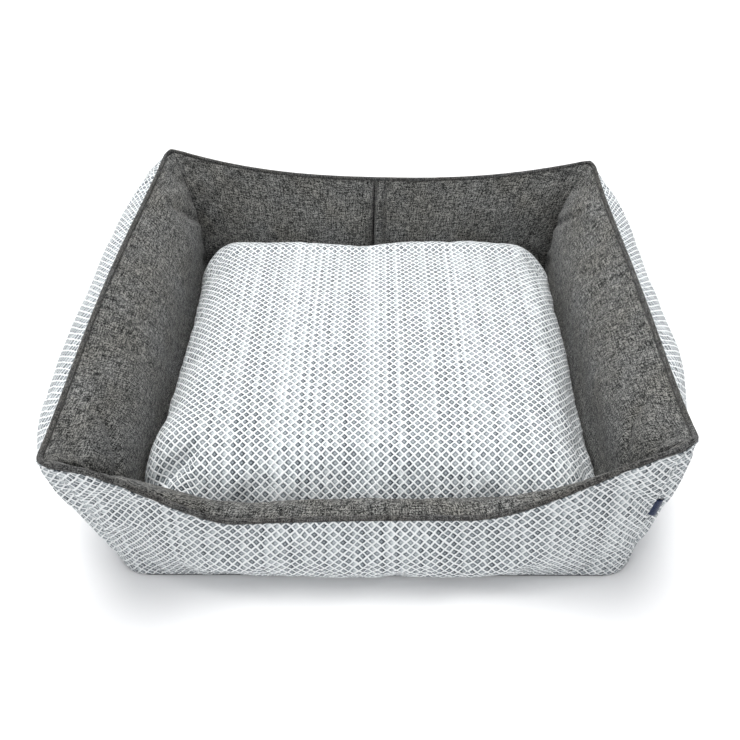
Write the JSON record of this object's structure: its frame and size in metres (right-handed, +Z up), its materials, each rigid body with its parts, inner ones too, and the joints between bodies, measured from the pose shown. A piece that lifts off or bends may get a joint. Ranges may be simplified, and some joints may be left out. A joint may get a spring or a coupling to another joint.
{
  "type": "pet cushion bed",
  "caption": "Rectangular pet bed with padded walls, a low entry in the front wall, piped top seam and a loose cushion with a zipped cover.",
  "frame": {"origin": "middle of the bed's footprint, on the surface that it stands on", "axes": "+X along the wide side, +Y from the low entry towards the back wall, +Z up"},
  "size_m": [0.8092, 0.6912, 0.2499],
  "materials": {
    "lattice_jacquard": "woven polyester jacquard, white lattice over grey, matt",
    "charcoal_linen": "plain woven linen-look polyester, charcoal, matt",
    "piping_cloth": "bias-cut charcoal cloth round a cord, matt",
    "piping_cord": "twisted cotton cord, matt",
    "fibre_filling": "white hollow polyester fibre, fluffy",
    "base_cloth": "dark woven cloth with small rubbery non-slip dots",
    "tab_ribbon": "woven satin ribbon, navy",
    "zip_tape": "grey knitted polyester tape",
    "zip_nylon": "coiled nylon, satin",
    "slider_metal": "plated die-cast zinc, satin"
  },
  "bodies": {
    "root": {"outer_front_panel": "lattice_jacquard", "outer_back_panel": "lattice_jacquard", "outer_left_panel": "lattice_jacquard", "outer_right_panel": "lattice_jacquard", "inner_front_panel": "charcoal_linen", "inner_left_panel": "charcoal_linen", "inner_right_panel": "charcoal_linen", "inner_back_left_panel": "charcoal_linen", "inner_back_right_panel": "charcoal_linen", "front_wall_filling": "fibre_filling", "left_wall_filling": "fibre_filling", "right_wall_filling": "fibre_filling", "back_left_wall_filling": "fibre_filling", "back_right_wall_filling": "fibre_filling", "piping_cover": "piping_cloth", "piping_cord": "piping_cord", "base_panel": "base_cloth", "floor_wadding": "fibre_filling", "floor_lining": "charcoal_linen", "side_tab": "tab_ribbon"},
    "cushion": {"cushion_top_panel": "lattice_jacquard", "cushion_bottom_panel": "lattice_jacquard", "cushion_rear_strip": "lattice_jacquard", "cushion_filling": "fibre_filling", "zip_tape_front": "zip_tape", "zip_coil_front": "zip_nylon", "zip_top_stop_front": "slider_metal", "zip_tape_rear": "zip_tape", "zip_coil_rear": "zip_nylon", "zip_top_stop_rear": "slider_metal", "zip_bottom_stop": "slider_metal"},
    "zip_slider": {"zip_slider": "slider_metal"},
    "zip_pull": {"zip_pull": "slider_metal"}
  },
  "joints": [
    {"name": "cushion_lift", "type": "slide", "parent": "root", "child": "cushion", "axis": [0, 0, 1], "range_m": [0, 0.35]},
    {"name": "zip_slide", "type": "slide", "parent": "cushion", "child": "zip_slider", "axis": [1, 0, 0], "range_m": [0, 0.418]},
    {"name": "zip_pull_swing", "type": "hinge", "parent": "zip_slider", "child": "zip_pull", "pos_m": [-0.209, 0.2293, 0.03063], "axis": [0, 0.6693, 0.743], "range_deg": [-90, 90]}
  ]
}
